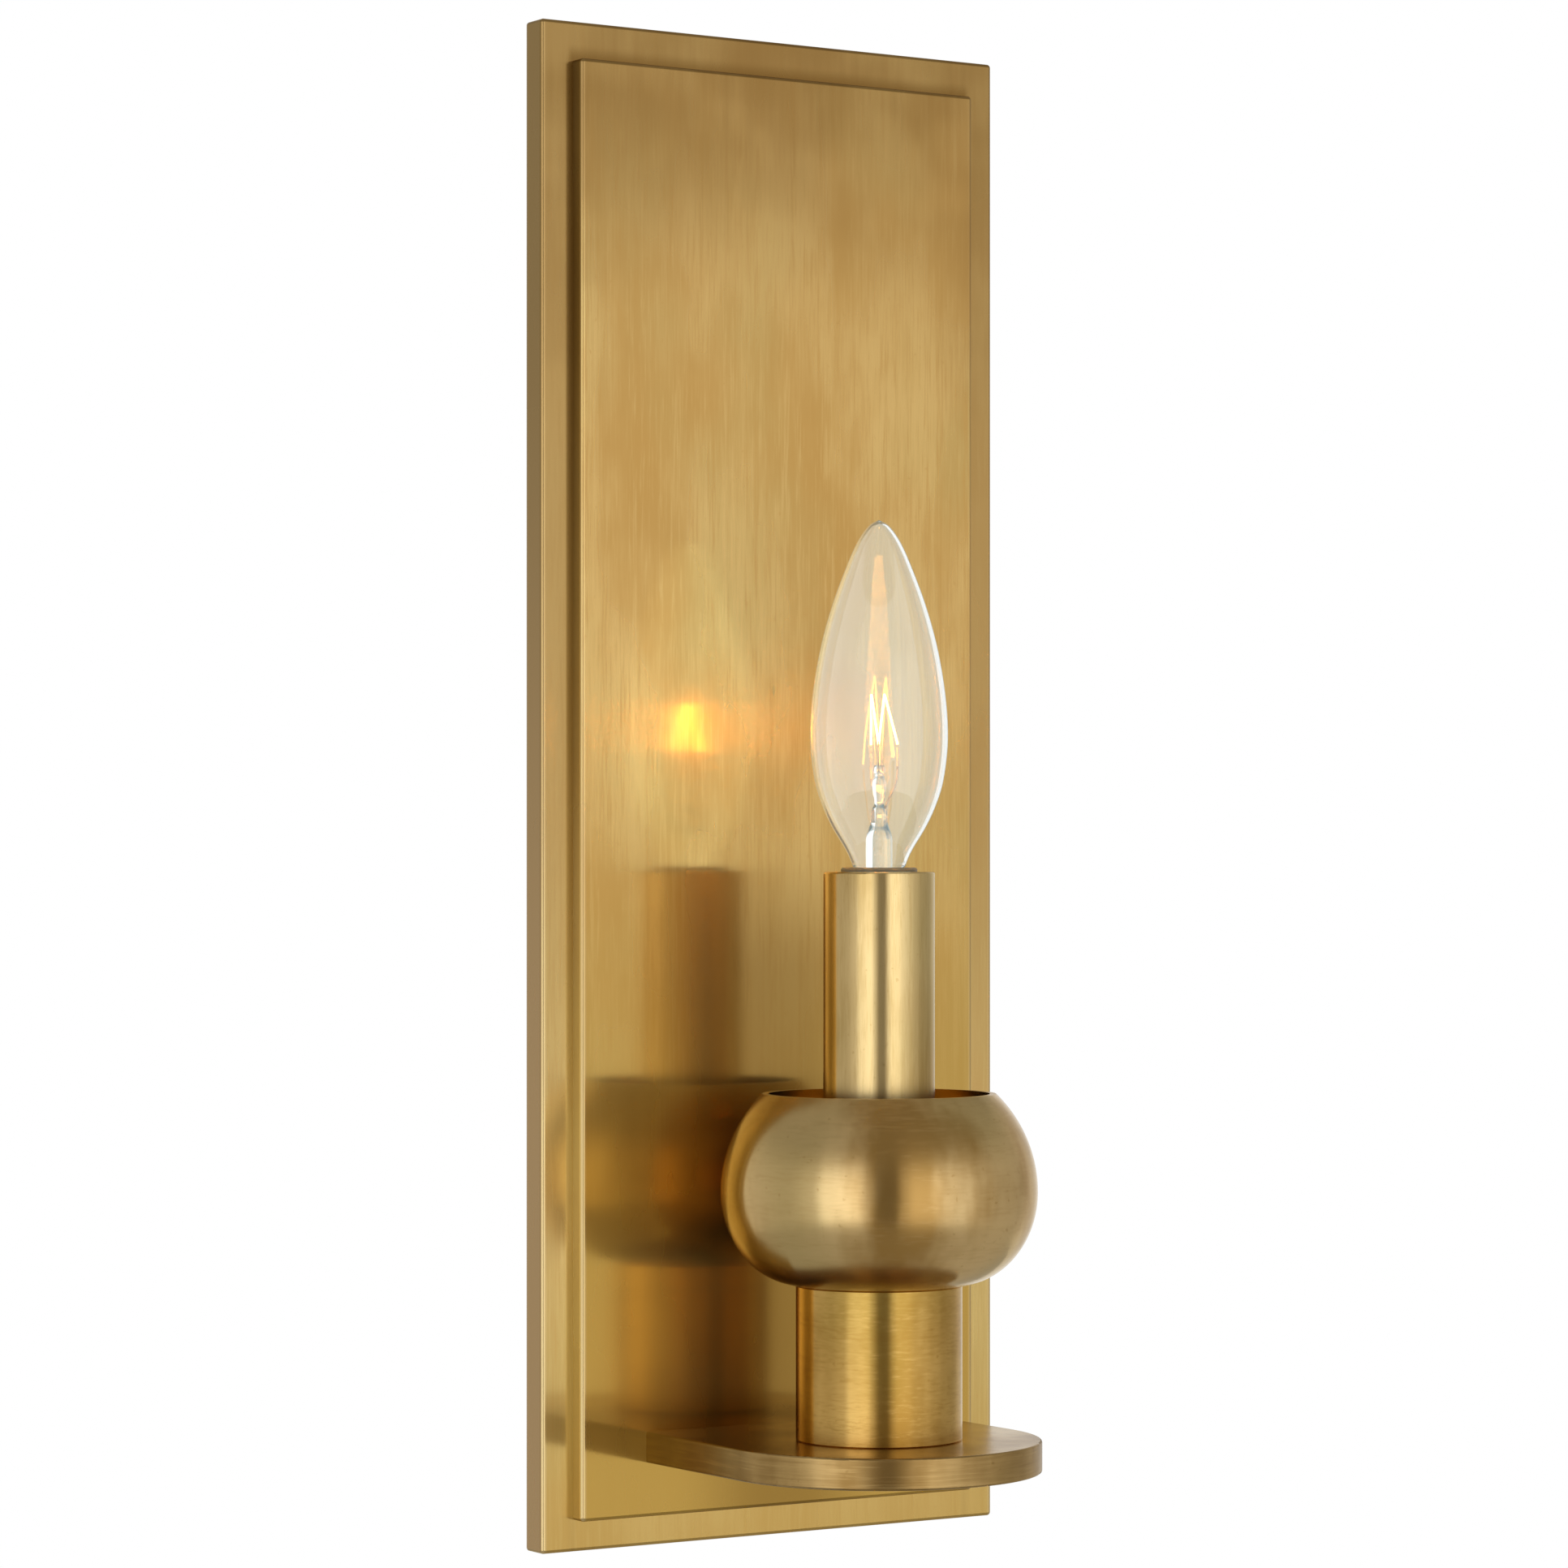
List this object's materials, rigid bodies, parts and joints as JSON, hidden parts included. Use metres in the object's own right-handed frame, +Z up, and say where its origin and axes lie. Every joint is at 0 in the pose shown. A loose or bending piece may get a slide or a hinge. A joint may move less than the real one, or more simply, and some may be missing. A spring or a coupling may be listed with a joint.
{
  "type": "wall sconce",
  "caption": "Candle-type wall sconce: tall stepped brass back plate, U-shaped shelf, collar, open globe cup, candle sleeve and a clear torpedo bulb.",
  "frame": {"origin": "centre of the wall fixing, on the wall plane, which is the middle of the back plate", "axes": "+Z up, +Y into the wall, the sconce stands out along -Y, +X to the right seen from the front"},
  "size_m": [0.127, 0.09, 0.3556],
  "materials": {
    "aged_brass": "brushed brass with a dark antique patina, worn lighter at the edges",
    "plain_brass": "machined",
    "zinc_steel": "zinc plated",
    "green_steel": "green dyed zinc",
    "nylon": "natural nylon",
    "dark_plastic": "dark grey moulded phenolic",
    "green_pvc": "smooth insulation",
    "black_pvc": "smooth insulation",
    "white_pvc": "smooth insulation",
    "clear_glass": "clear",
    "cap_metal": "rolled",
    "black_glass": "opaque black",
    "solder": "smooth",
    "lead_wire": "drawn",
    "tungsten": null
  },
  "bodies": {
    "fixture": {"back_plate": "aged_brass", "plate_edges": "aged_brass", "front_panel": "aged_brass", "panel_edges": "aged_brass", "panel_studs": "plain_brass", "panel_nuts": "plain_brass", "backing_plate": "zinc_steel", "shelf_screws": "zinc_steel", "wall_bracket": "zinc_steel", "lock_screws": "aged_brass", "cable_bushing": "nylon", "terminal_block": "nylon", "terminal_screws": "zinc_steel", "block_screws": "zinc_steel", "ground_screw": "green_steel", "ground_lug": "zinc_steel", "ground_wire": "green_pvc", "shelf": "aged_brass", "shelf_nut": "plain_brass", "shelf_washer": "plain_brass", "collar": "aged_brass", "collar_base_disc": "zinc_steel", "collar_top_disc": "zinc_steel", "cup": "aged_brass", "sleeve_seat": "aged_brass", "cup_nut": "plain_brass", "nipple": "plain_brass", "socket_body": "dark_plastic", "socket_shell": "plain_brass", "socket_contact": "plain_brass", "hickey": "zinc_steel", "hickey_screw": "zinc_steel", "line_lead": "black_pvc", "neutral_lead": "white_pvc"},
    "sleeve": {"candle_sleeve": "aged_brass"},
    "bulb_tip": {"bulb_contact": "solder"},
    "bulb": {"bulb_glass": "clear_glass", "bulb_stem": "clear_glass", "bulb_cap": "cap_metal", "bulb_insulator": "black_glass", "bulb_leads": "lead_wire", "bulb_supports": "lead_wire", "bulb_filament": "tungsten"}
  },
  "joints": [
    {"name": "bulb_lift", "type": "slide", "parent": "fixture", "child": "bulb_tip", "axis": [0, 0, 1], "range_m": [0, 0.0127]},
    {"name": "bulb_turn", "type": "hinge", "parent": "bulb_tip", "child": "bulb", "pos_m": [0, -0.0524, -0.026], "axis": [0, 0, 1], "range_deg": [0, 1800]},
    {"name": "sleeve_lift", "type": "slide", "parent": "fixture", "child": "sleeve", "axis": [0, 0, 1], "range_m": [0, 0.006]}
  ],
  "couplings": [
    {"joint": "bulb_lift", "follows": "bulb_turn", "m_per_rad": 0.00040425}
  ]
}
